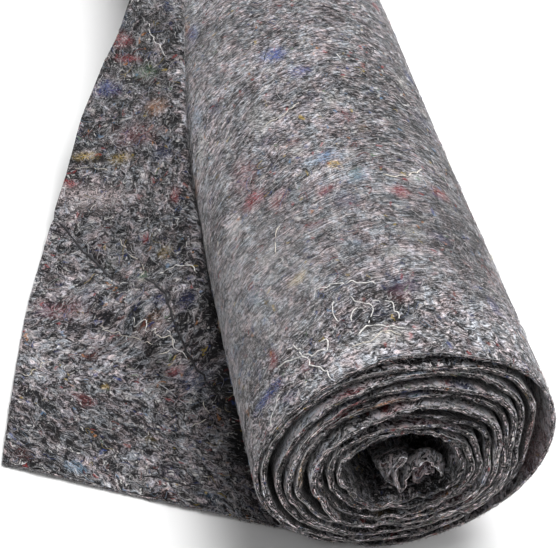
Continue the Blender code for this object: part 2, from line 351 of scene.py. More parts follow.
def grid_normals(middle):
    """Unit normals of a grid of points, away from the roll on its outer turn."""
    along = np.gradient(middle, axis=0)
    across = np.gradient(middle, axis=1)
    normals = np.cross(across, along)
    return normals / np.maximum(1e-12, np.linalg.norm(normals, axis=-1, keepdims=True))


def edge_ease(places, fine):
    """Share of full thickness near both ends of a row of places, so that a cut edge is a little rounded."""
    from_end = np.minimum(places - places[0], places[-1] - places)
    return 0.90 + 0.10 * np.clip(from_end / fine, 0, 1) ** 0.5


Sheet = namedtuple("Sheet", "thing middle normals along columns half")

# How far behind its neighbours' edges the felt between two turns is fully darkened by painted shade, in
# metres
PAINTED_SHADE_REACH = 0.0045
PAINTED_EDGE_SHADE_REACH = 0.012


def painted_turn_shade(turn, y):
    """Shares from 0 to 1 of painted shade that the next turns cast on the outer face, the inner face and the
    edges.
    """
    near, far = y[:, 0], y[:, -1]
    first = turn[:STEPS_PER_TURN] - 1
    none = np.full(STEPS_PER_TURN, 2 * ROLL_LENGTH)
    near_outside = np.concatenate([NEAR_Y + near_offset(first), near[:-STEPS_PER_TURN]])[:, None]
    far_outside = np.concatenate([NEAR_Y + ROLL_LENGTH + far_offset(first), far[:-STEPS_PER_TURN]])[:, None]
    near_inside = np.concatenate([near[STEPS_PER_TURN:], none])[:, None]
    far_inside = np.concatenate([far[STEPS_PER_TURN:], -none])[:, None]
    outer = np.clip(np.minimum(y - near_outside, far_outside - y) / PAINTED_SHADE_REACH, 0, 1)
    inner = np.clip(np.minimum(y - near_inside, far_inside - y) / PAINTED_SHADE_REACH, 0, 1)
    rim = np.zeros(y.shape)
    rim[:, 0] = near - np.minimum(near_outside, near_inside)[:, 0]
    rim[:, -1] = np.maximum(far_outside, far_inside)[:, 0] - far
    return outer, inner, np.clip(rim / PAINTED_EDGE_SHADE_REACH, 0, 1)


def cloth_mesh(name, middle, lengths, columns, thickness, seeds, painted_gap_shade=None):
    """Closed thin sheet round a grid of middle points, which carries the place on the cloth and the side."""
    rows, cols = middle.shape[:2]
    normals = grid_normals(middle)
    along = lengths if lengths.ndim == 2 else np.repeat(lengths[:, None], cols, axis=1)
    across = np.repeat(columns[None, :], rows, axis=0)
    half = thickness / 2 * (1 + 0.08 * waves(seeds[0], 6, 0.03, along, across))
    half = half * edge_ease(columns, 0.0016)[None, :]
    half[0] *= 0.90
    half[-1] *= 0.90
    marks = [np.stack([along, across, np.full_like(along, side)], -1).reshape(-1, 3) for side in (1, -1)]
    out = normals * half[..., None]
    points = [(middle + out).reshape(-1, 3), (middle - out).reshape(-1, 3)]
    index = np.arange(rows * cols).reshape(rows, cols)
    low, rim = rows * cols, 2 * rows * cols
    a, b, c, d = index[:-1, :-1], index[1:, :-1], index[1:, 1:], index[:-1, 1:]
    faces = [np.stack([a, b, c, d], -1), low + np.stack([a, d, c, b], -1)]
    border = np.concatenate([index[:-1, 0], index[-1, :-1], index[1:, -1][::-1], index[0, 1:][::-1]])
    inside = np.concatenate([index[:-1, 1], index[-2, :-1], index[1:, -2][::-1], index[1, 1:][::-1]])
    place = np.stack([along, across], -1).reshape(-1, 2)[border]
    centre = middle.reshape(-1, 3)
    outward = centre[border] - centre[inside]
    outward /= np.maximum(1e-9, np.linalg.norm(outward, axis=-1, keepdims=True))
    ragged = 0.0003 + 0.0006 * waves(seeds[1], 14, 0.009, place[:, 0], place[:, 1])
    points.append(centre[border] + outward * ragged[:, None])
    marks.append(np.column_stack([place, np.zeros(len(place))]))
    here = np.arange(len(border))
    after = (here + 1) % len(border)
    faces.append(np.stack([border[here], rim + here, rim + after, border[after]], -1))
    faces.append(np.stack([rim + here, low + border[here], low + border[after], rim + after], -1))
    faces = np.concatenate([part.reshape(-1, 4) for part in faces]).tolist()
    thing = new_thing(name, np.concatenate(points), faces)
    sharpen_rims(thing.data, border, low + border)
    mark = thing.data.attributes.new("cloth", "FLOAT_VECTOR", "POINT")
    mark.data.foreach_set("vector", np.concatenate(marks).astype(np.float32).ravel())
    # Painted shade between the turns, kept as an attribute that darkens the felt's colour
    if painted_gap_shade is not None:
        outer, inner, edge = (part.ravel() for part in painted_gap_shade)
        shade = thing.data.attributes.new("painted_gap_shade", "FLOAT", "POINT")
        shade.data.foreach_set("value", np.concatenate([outer, inner, edge[border]]).astype(np.float32))
    return Sheet(thing, middle, normals, along, columns, half)


def new_thing(name, points, faces):
    """A smooth-shaded mesh object of its own, with no point below the floor."""
    points[:, 2] = np.maximum(points[:, 2], 0.0)
    mesh = bpy.data.meshes.new(name)
    mesh.from_pydata(points.tolist(), [], faces)
    mesh.shade_smooth()
    thing = bpy.data.objects.new(name, mesh)
    bpy.context.scene.collection.objects.link(thing)
    return thing


def sharpen_rims(mesh, *rims):
    """Mark the edges along the given points as sharp, so that the cut edges keep their corners."""
    ends = np.empty(2 * len(mesh.edges), dtype=np.int32)
    mesh.edges.foreach_get("vertices", ends)
    ends = ends.reshape(-1, 2)
    sharp = np.zeros(len(ends), dtype=bool)
    for rim in rims:
        sharp |= np.isin(ends, rim).all(axis=1)
    mark = mesh.attributes.new("sharp_edge", "BOOLEAN", "EDGE")
    mark.data.foreach_set("value", sharp)


def face_outwards(thing):
    """Turn every face outwards if the closed mesh came out inside out."""
    mesh = thing.data
    corners = np.array([v.co for v in mesh.vertices])
    mesh.calc_loop_triangles()
    triangles = np.array([t.vertices for t in mesh.loop_triangles])
    a, b, c = corners[triangles[:, 0]], corners[triangles[:, 1]], corners[triangles[:, 2]]
    volume = np.einsum("ij,ij->i", a, np.cross(b, c)).sum()
    if volume < 0:
        mesh.flip_normals()


def spread_columns(*stretches):
    """Places across the cloth, from stretches of (start, step) that end where the next one starts."""
    places = []
    for (start, step), (stop, _) in zip(stretches, stretches[1:] + ((ROLL_LENGTH, 0),)):
        count = max(1, round((stop - start) / step))
        places += [start + (stop - start) * index / count for index in range(count)]
    return np.array(places + [ROLL_LENGTH])


# Creases of the loose end in the cloth's own measures: along it from the bottom of the roll, and in from its
# near edge
CREASES = (
    Fold((-0.335, 0.287), (-0.265, 0.225), -0.0036, 0.0036),
    Fold((-0.246, 0.246), (-0.206, 0.204), -0.0030, 0.0036),
    Fold((-0.206, 0.204), (-0.160, 0.162), -0.0042, 0.0038),
    Fold((-0.160, 0.162), (-0.105, 0.125), -0.0036, 0.0042),
    Fold((-0.226, 0.190), (-0.172, 0.156), 0.0040, 0.0060),
    Fold((-0.172, 0.156), (-0.118, 0.108), 0.0034, 0.0065),
    Fold((-0.312, 0.365), (-0.225, 0.345), -0.0018, 0.0045),
    Fold((-0.300, 0.405), (-0.240, 0.395), 0.0016, 0.0080),
    Fold((-0.290, 0.060), (-0.190, 0.085), 0.0014, 0.0120),
    Fold((-0.200, 0.017), (-0.130, 0.024), -0.0014, 0.0050),
)


def outer_wrap():
    """The outermost turn and the loose end, as one closed sheet."""
    columns = spread_columns(
        (0, 0.0016), (0.0016, 0.0034), (0.005, 0.0050), (0.45, 0.0085), (0.99, 0.0085), (0.9984, 0.0016),
    )
    shares = np.linspace(0, 1, LOOSE_STEPS + 1)
    parts = [loose_column(place, shares) for place in columns]
    loose, beyond, lengths = (np.stack([part[index] for part in parts], axis=1) for index in range(3))
    loose = loose - grid_normals(loose) * loose_relief(beyond, lengths, columns[None, :])[..., None]
    loose[..., 2] = np.maximum(loose[..., 2], CLOTH_THICKNESS / 2)
    turn = np.linspace(0, 1.0, OUTER_STEPS + 1)
    angle = 2 * math.pi * (1 - turn)
    rim_x, rim_z = on_roll(angle, ROLL_RADIUS)
    wall_x, wall_z = eye_wall(angle)
    room = np.hypot(rim_x - wall_x, rim_z - wall_z)
    wound = wound_points(turn, angle, CLOTH_THICKNESS * (0.5 + turn), room, columns)
    middle = np.concatenate([loose, wound[1:]])
    wound_length = turn[1:] * 2 * math.pi * ROLL_RADIUS
    along = np.concatenate([lengths, np.repeat(wound_length[:, None], len(columns), axis=1)])
    return cloth_mesh("outer_wrap", middle, along, columns, CLOTH_THICKNESS, (21, 22))


def loose_relief(beyond, along, inwards):
    """Soft relief of the loose end across its face, as metres up from its upper face."""
    fade = np.clip(3 * beyond, 0, 1) * np.clip(0.1 + 6 * beyond, 0, 1)
    return fade * (layered(LOOSE_SWELL, along, inwards) + 0.0008 + folded(CREASES, along, inwards))


def inner_turns():
    """All turns inside the outermost one, as one closed sheet."""
    columns = spread_columns(
        (0, 0.0016), (0.0016, 0.0034), (0.005, 0.007), (0.012, 0.012), (0.024, 0.021), (0.045, 0.035),
        (0.08, 0.07), (0.15, 0.15), (0.90, 0.06), (0.96, 0.024), (0.984, 0.010), (0.994, 0.0044),
        (0.9984, 0.0016),
    )
    turn, angle, depth, room = (part[STEPS_PER_TURN:] for part in winding_depths())
    middle = wound_points(turn, angle, depth, room, columns)
    steps = np.linalg.norm(np.diff(middle[:, 0], axis=0), axis=-1)
    along = 2 * math.pi * ROLL_RADIUS + np.concatenate([[0], np.cumsum(steps)])
    painted_gap_shade = painted_turn_shade(turn, middle[..., 1])
    return cloth_mesh("inner_turns", middle, along, columns, SWELL * CLOTH_THICKNESS, (23, 24), painted_gap_shade)


# The crumpled inner tail in the eye, its section at the near end as (x, height) in metres
TAIL_SECTION = (
    (0.0015, 0.0785), (-0.0070, 0.0880), (-0.0115, 0.1000), (-0.0100, 0.1120), (-0.0030, 0.1190),
    (0.0010, 0.1150), (-0.0020, 0.1070), (-0.0015, 0.0965), (0.0020, 0.0860), (0.0060, 0.0800),
    (0.0070, 0.0930), (0.0090, 0.1055), (0.0120, 0.1145), (0.0175, 0.1230), (0.0250, 0.1190),
    (0.0345, 0.1080), (0.0405, 0.0965), (0.0395, 0.0865), (0.0305, 0.0835), (0.0205, 0.0875),
    (0.0150, 0.0970), (0.0190, 0.1050), (0.0270, 0.1030), (0.0335, 0.0945),
)
TAIL_FLOOR = 0.078
TAIL_DEPTH = 0.026
TAIL_MIDDLE = 0.010
TAIL_PINCH = 0.10
TAIL_PINCH_DEPTH = 0.007
# Where the tail starts in the felt's pattern, beyond all the turns
TAIL_ALONG = 6.0
# Its cut isn't square, so its flat area is that of a rectangle narrower than the roll
TAIL_MEAN_WIDTH = 0.60


def smooth_path(points, count):
    """Evenly spaced points on a smooth curve through a few points."""
    points = np.array(points, float)
    padded = np.concatenate([[2 * points[0] - points[1]], points, [2 * points[-1] - points[-2]]])
    dense = []
    for index in range(len(points) - 1):
        before, low, high, after = padded[index:index + 4]
        for share in np.linspace(0, 1, 24, endpoint=False):
            dense.append(curve_point(low, high, (high - before) / 2, (after - low) / 2, share))
    dense.append(points[-1])
    dense = np.array(dense)
    lengths = np.concatenate([[0], np.cumsum(np.linalg.norm(np.diff(dense, axis=0), axis=-1))])
    wanted = np.linspace(0, lengths[-1], count)
    path = np.stack([np.interp(wanted, lengths, axis) for axis in dense.T], -1)
    return path, lengths[-1]


def inner_tail():
    """The crumpled inner end of the cloth, standing in folds at the near end and lying flat deeper in."""
    section, length = smooth_path(TAIL_SECTION, 190)
    fine, coarse = np.linspace(0.006, 0.06, 24), np.linspace(0.07, 0.30, 14)
    columns = np.concatenate([[0, 0.0016, 0.0038], fine, coarse, [0.5, 0.75, 0.995]])
    share = np.linspace(0, 1, len(section))[:, None]
    depth = columns[None, :]
    stand = np.exp(-(depth / TAIL_DEPTH) ** 2)
    crumple = np.clip(stand, 0.10, 1)
    pinch = 1 + TAIL_PINCH - 2 * TAIL_PINCH * np.exp(-(depth / TAIL_PINCH_DEPTH) ** 2)
    x = TAIL_MIDDLE + (section[:, :1] - TAIL_MIDDLE) * pinch * (0.85 + 0.15 * stand)
    z = TAIL_FLOOR + (section[:, 1:] - TAIL_FLOOR) * crumple * pinch
    x = x + crumple * layered(TAIL_SIDEWAYS, share * length, depth)
    z = z + crumple * layered(TAIL_UPWARDS, share * length, depth)
    y = NEAR_Y + depth + 0.002 - 0.004 * np.sin(math.pi * share) + layered(TAIL_EDGE_WANDER, share)
    middle = np.stack([x, y + 0 * x, z], axis=-1)
    along = TAIL_ALONG + share[:, 0] * length
    return cloth_mesh("inner_tail", middle, along, columns, 0.7 * CLOTH_THICKNESS, (25, 26)), length


def on_cloth(sheet, along, inwards, side, lift):
    """Points on one face of a sheet at places on the cloth, lifted off it, and the face's normals there."""
    column = np.interp(inwards, sheet.columns, np.arange(len(sheet.columns)))
    low = np.clip(column.astype(int), 0, len(sheet.columns) - 2)
    share = column - low
    rows = sheet.along[:, low] * (1 - share) + sheet.along[:, low + 1] * share
    row = np.clip((rows < along).sum(axis=0) - 1, 0, len(rows) - 2)
    pick = np.arange(len(row))
    part = np.clip((along - rows[row, pick]) / (rows[row + 1, pick] - rows[row, pick]), 0, 1)

    def blend(grid):
        grid = grid if grid.ndim == 3 else grid[..., None]
        near = grid[row, low] * (1 - share)[:, None] + grid[row, low + 1] * share[:, None]
        far = grid[row + 1, low] * (1 - share)[:, None] + grid[row + 1, low + 1] * share[:, None]
        return near * (1 - part)[:, None] + far * part[:, None]

    normals = blend(sheet.normals) * side
    return blend(sheet.middle) + normals * (blend(sheet.half) + lift[:, None]), normals


def tubes(name, lines, normals, radii, colours, sides):
    """Many thin closed tubes with pointed ends as one mesh, from lines of points, each in its own colour."""
    count, steps = lines.shape[:2]
    tangent = np.gradient(lines, axis=1)
    tangent /= np.maximum(1e-12, np.linalg.norm(tangent, axis=-1, keepdims=True))
    sideways = np.cross(tangent, normals)
    sideways /= np.maximum(1e-12, np.linalg.norm(sideways, axis=-1, keepdims=True))
    upwards = np.cross(sideways, tangent)
    turn = (2 * math.pi * np.arange(sides) / sides)[None, None, :, None]
    ring = np.cos(turn) * upwards[:, 1:-1, None] + np.sin(turn) * sideways[:, 1:-1, None]
    ring = lines[:, 1:-1, None] + radii[:, None, None, None] * ring
    points = np.concatenate([lines[:, :1], ring.reshape(count, -1, 3), lines[:, -1:]], axis=1)
    size = points.shape[1]
    start = (size * np.arange(count))[:, None, None]
    level = 1 + sides * np.arange(steps - 3)[:, None]
    here, after = np.arange(sides)[None, :], (np.arange(sides)[None, :] + 1) % sides
    near, far = level + here, level + after
    quads = np.stack([near, far, sides + far, sides + near], -1).reshape(1, -1, 4)
    last = 1 + sides * (steps - 3)
    fans = np.stack([np.zeros(sides, int), 1 + after[0], 1 + here[0]], -1)[None]
    ends = np.stack([np.full(sides, size - 1), last + here[0], last + after[0]], -1)[None]
    faces = [tuple(face) for face in (start + quads).reshape(-1, 4).tolist()]
    faces += [tuple(face) for face in (start + np.concatenate([fans, ends], axis=1)).reshape(-1, 3).tolist()]
    thing = new_thing(name, points.reshape(-1, 3), faces)
    tone = thing.data.attributes.new("strand_tone", "FLOAT_COLOR", "POINT")
    shade = np.repeat(np.column_stack([colours, np.ones(count)]), size, axis=0)
    tone.data.foreach_set("color", shade.astype(np.float32).ravel())
    return thing


# Loose ends of threads caught in the felt, and thin strips of painted crease shadow: width in tenths of a
# millimetre, tone, and places in millimetres along the cloth from the bottom of the roll and in from its near
# edge. Those along less than 0 lie on the loose end's upper face; those in the darkest tone there lie in its
# creases as painted shadow
Strand = namedtuple("Strand", "width tone route")
# The darkest tone is that of the painted crease shadow strips on the loose end and of one short strip on the
# roll
WHITE, CREAM, GREY, DARK_AND_CREASE_SHADOW = (0.80, 0.79, 0.77), (0.66, 0.62, 0.55), (0.42, 0.42, 0.45), (0.030, 0.028, 0.032)
STRAND_ROWS = (
    (13, WHITE, (515, 45), (500, 41), (488, 36), (470, 30), (467, 37), (474, 40)),
    (10, WHITE, (503, 53), (495, 51), (490, 42)),
    (12, WHITE, (492, 42), (487, 32), (484, 23), (476, 16), (472, 4)),
    (10, WHITE, (519, 20), (531, 14), (537, 4)), (9, CREAM, (488, 20), (493, 20), (492, 11)),
    (12, WHITE, (465, 88), (448, 85), (434, 80), (418, 72)), (11, WHITE, (453, 70), (457, 59), (454, 47)),
    (10, WHITE, (442, 67), (436, 60), (428, 53), (430, 43), (434, 36)),
    (10, WHITE, (445, 44), (443, 52), (436, 56)), (10, WHITE, (427, 56), (415, 54), (411, 42), (412, 36)),
    (14, WHITE, (446, 30), (432, 34), (420, 28), (410, 26)),
    (11, CREAM, (450, 22), (436, 20), (424, 26), (414, 18)), (10, GREY, (414, 98), (409, 101)),
    (14, CREAM, (383, 197), (369, 196), (355, 202), (337, 216)),
    (11, CREAM, (469, 290), (450, 294), (431, 304)), (12, WHITE, (556, 341), (541, 331), (527, 324)),
    (10, WHITE, (383, 365), (380, 358), (374, 358)), (9, CREAM, (480, 171), (487, 158), (488, 142)),
    (9, GREY, (431, 175), (421, 182), (414, 184)), (10, CREAM, (550, 216), (553, 203)),
    (8, CREAM, (-267, 266), (-250, 248), (-236, 240), (-233, 224)),
    (10, WHITE, (-214, 224), (-200, 229), (-186, 230), (-172, 222)),
    (9, CREAM, (-280, 100), (-272, 98), (-266, 108), (-256, 127)),
    (8, CREAM, (-249, 176), (-232, 172), (-212, 169), (-186, 164)),
    (10, GREY, (-172, 131), (-161, 129), (-149, 121), (-139, 114), (-127, 102)),
    (8, WHITE, (-275, 492), (-266, 478), (-252, 466), (-244, 456)),
    (8, CREAM, (-316, 338), (-300, 341), (-280, 338)), (8, CREAM, (-128, 124), (-120, 106), (-135, 90)),
    (28, DARK_AND_CREASE_SHADOW, (-332, 285), (-325, 278), (-308, 258), (-288, 244), (-265, 225)),
    (9, CREAM, (-284, 242), (-272, 231), (-264, 222)),
    (26, DARK_AND_CREASE_SHADOW, (-233, 225), (-206, 204), (-186, 184), (-160, 162), (-130, 141), (-108, 122)),
    (10, WHITE, (-220, 183), (-213, 178), (-207, 181), (-200, 174), (-192, 175)),
    (9, CREAM, (-194, 175), (-186, 170), (-176, 169), (-170, 160), (-176, 156)),
    (9, WHITE, (-184, 176), (-170, 164), (-160, 158), (-149, 153)),
    (14, DARK_AND_CREASE_SHADOW, (-196, 19), (-172, 21), (-150, 20), (-128, 26)),
    (10, DARK_AND_CREASE_SHADOW, (-312, 362), (-286, 364), (-246, 356), (-224, 338)), (9, DARK_AND_CREASE_SHADOW, (440, 398), (452, 372)),
)
STRANDS = [
    Strand(tenths / 10000, tone, [metres(place) for place in route]) for tenths, tone, *route in STRAND_ROWS
]
STRAND_STEPS = 30
STRAND_THINNING = 0.85
KINK = 0.0009
KINK_SPACING = 0.012


def threads_and_crease_shadows(sheet):
    """The loose ends of threads and the strips of painted crease shadow, each on a smooth curve with small
    kinks of its own.
    """
    lines, normals = [], []
    for number, strand in enumerate(STRANDS):
        route, length = smooth_path(strand.route, STRAND_STEPS)
        way = np.linspace(0, length, STRAND_STEPS)
        along = route[:, 0] + KINK * waves(200 + number, 4, KINK_SPACING, way)
        inwards = np.maximum(0.0012, route[:, 1] + KINK * waves(300 + number, 4, KINK_SPACING, way))
        lift = strand.width * 0.10 + 0.0005 * waves(400 + number, 3, 0.014, way)
        lift[[0, -1]] = -strand.width / 2
        side = 1 if strand.route[0][0] > 0 else -1
        line, normal = on_cloth(sheet, along, inwards, side, lift)
        lines.append(line)
        normals.append(normal)
    widths = STRAND_THINNING * np.array([strand.width for strand in STRANDS])
    tones = np.array([strand.tone for strand in STRANDS])
    return tubes("threads_and_crease_shadows", np.array(lines), np.array(normals), widths / 2, tones, 6)


# Share of the loose fibres that have each colour
FIBRE_TONES = (
    (0.36, (0.52, 0.52, 0.53)), (0.22, (0.32, 0.32, 0.34)), (0.26, (0.032, 0.031, 0.036)),
    (0.05, (0.10, 0.13, 0.28)), (0.04, (0.28, 0.07, 0.07)), (0.02, (0.38, 0.30, 0.12)),
    (0.03, (0.22, 0.30, 0.40)), (0.02, (0.40, 0.28, 0.26)),
)
FIBRE_COUNT = 5600
FIBRE_STEPS = 7
FIBRE_LENGTHS = (0.006, 0.026)
FIBRE_RADII = (0.00010, 0.00026)
FIBRE_BOW = 0.0009
ROOT_DEPTH = 0.0004
# Fibres under the first share are on the roll, those over the second are along the loose end's cut edge
ROLL_SHARE, TIP_SHARE = 0.62, 0.90


def picked_tones(numbers, count):
    """A colour for each of some fibres."""
    shares, tones = zip(*FIBRE_TONES)
    return np.array(tones)[numbers.choice(len(FIBRE_TONES), count, p=shares)]


def surface_fibres(sheet):
    """Single fibres that stand a little proud of the felt, on the roll's side and on the loose end."""
    numbers = np.random.default_rng(71)
    inwards = numbers.uniform(0.002, 0.998, FIBRE_COUNT) ** 1.25
    clings = [max(0.0, table_value(LOOSE_END, "cling", place)) for place in inwards]
    cling = np.radians(np.array(clings)) * ROLL_RADIUS
    wound = 2 * math.pi * ROLL_RADIUS
    end = np.array([np.interp(place, sheet.columns, sheet.along[0]) for place in inwards])
    kind = numbers.uniform(0, 1, FIBRE_COUNT)
    share = numbers.uniform(0, 1, FIBRE_COUNT)
    on_side, at_tip = kind < ROLL_SHARE, kind > TIP_SHARE
    along = np.where(on_side, 0.04 + share * (wound - 0.06), end + 0.002 + share * (-cling - 0.004 - end))
    along = np.where(at_tip, end + 0.002 + share * np.minimum(0.2, -0.002 - end), along)
    side = np.where(on_side | at_tip, 1.0, -1.0)
    length = numbers.uniform(*FIBRE_LENGTHS, FIBRE_COUNT)
    spread = np.where(side > 0, 0.45, 1.2)
    heading = numbers.normal(0, 1, FIBRE_COUNT) * spread + numbers.integers(0, 2, FIBRE_COUNT) * math.pi
    bend = numbers.normal(0, 1.1, FIBRE_COUNT)
    twist = numbers.normal(0, 1.4, FIBRE_COUNT)
    way = np.linspace(0, 1, FIBRE_STEPS)[None, :]
    bearing = heading[:, None] + bend[:, None] * way + twist[:, None] * np.sin(math.pi * 2 * way)
    step = length[:, None] / (FIBRE_STEPS - 1)
    run = along[:, None] + np.cumsum(step * np.cos(bearing), axis=1)
    inward = np.clip(inwards[:, None] + np.cumsum(step * np.sin(bearing), axis=1), 0.0008, 0.9992)
    radius = numbers.uniform(*FIBRE_RADII, FIBRE_COUNT)
    bow = numbers.uniform(0, FIBRE_BOW, FIBRE_COUNT)[:, None] * np.sin(math.pi * way) ** 2
    lift = radius[:, None] * 0.8 + bow
    lift[:, 0] = lift[:, -1] = -ROOT_DEPTH
    shape = run.shape
    sides = np.repeat(side[:, None], FIBRE_STEPS, axis=1).ravel()
    line, normal = on_cloth(sheet, run.ravel(), inward.ravel(), sides[:, None], lift.ravel())
    tones = picked_tones(numbers, FIBRE_COUNT)
    return tubes("surface_fibres", line.reshape(*shape, 3), normal.reshape(*shape, 3), radius, tones, 3)


EDGE_FIBRES = 5200
EDGE_STEPS = 5
EDGE_LENGTHS = (0.0010, 0.0034)
EDGE_RADII = (0.00008, 0.00020)
NEAR_END_SHARE = 0.75


def edge_fibres(wrap, turns):
    """Short fibres that stick out of the cut edges at both ends of the roll and along the loose end."""
    numbers = np.random.default_rng(72)
    lines, normals, radii, tones = [], [], [], []
    count = EDGE_FIBRES // 2
    for sheet in (wrap, turns):
        rows, cols = sheet.middle.shape[:2]
        near_end = numbers.uniform(0, 1, count) < NEAR_END_SHARE
        column = np.where(near_end, 0, cols - 1)
        place = numbers.uniform(0, rows - 1.001, count)
        row = place.astype(int)
        part = (place - row)[:, None]
        across = numbers.uniform(-0.95, 0.95, count)[:, None]
        middle = sheet.middle[row, column] * (1 - part) + sheet.middle[row + 1, column] * part
        normal = sheet.normals[row, column] * (1 - part) + sheet.normals[row + 1, column] * part
        inner = np.where(near_end, 1, cols - 2)
        outward = sheet.middle[row, column] - sheet.middle[row, inner]
        outward /= np.linalg.norm(outward, axis=-1, keepdims=True)
        tangent = sheet.middle[row + 1, column] - sheet.middle[row, column]
        tangent /= np.linalg.norm(tangent, axis=-1, keepdims=True)
        base = middle + normal * across * sheet.half[row, column][:, None]
        length = numbers.uniform(*EDGE_LENGTHS, count)[:, None]
        lean = numbers.normal(0, 0.9, count)[:, None]
        droop = numbers.normal(0, 0.6, count)[:, None]
        steps = []
        for index in range(EDGE_STEPS):
            way = index / (EDGE_STEPS - 1)
            reach = outward * math.sin(1.9 * way) * 0.62 - outward * 0.10
            curl = tangent * lean * way * (1 + way) / 2 + normal * droop * way ** 2
            steps.append(base + length * (reach + curl))
        lines.append(np.stack(steps, axis=1))
        normals.append(np.repeat(normal[:, None], EDGE_STEPS, axis=1))
        radii.append(numbers.uniform(*EDGE_RADII, count))
        tones.append(picked_tones(numbers, count))
    return tubes("edge_fibres", *(np.concatenate(part) for part in (lines, normals, radii, tones)), 3)


class Value:
    """A number that a material works out at each point. Sums and products of such values are nodes too."""

    def __init__(self, net, socket):
        self.net = net
        self.socket = socket

    def __add__(self, other):
        return self.net.maths("ADD", self, other)

    def __sub__(self, other):
        return self.net.maths("SUBTRACT", self, other)

    def __rsub__(self, other):
        return self.net.maths("SUBTRACT", other, self)

    def __mul__(self, other):
        return self.net.maths("MULTIPLY", self, other)

    __radd__, __rmul__ = __add__, __mul__

    def __abs__(self):
        return self.net.maths("ABSOLUTE", self)

    def above(self, limit):
        return self.net.maths("GREATER_THAN", self, limit)

    def largest(self, other):
        return self.net.maths("MAXIMUM", self, other)

    def ranged(self, low, high, to_low=0.0, to_high=1.0):
        """The value brought smoothly from one range into another."""
        inputs = {"Value": self, "From Min": low, "From Max": high, "To Min": to_low, "To Max": to_high}
        return self.net.value("ShaderNodeMapRange", inputs, interpolation_type="SMOOTHSTEP")


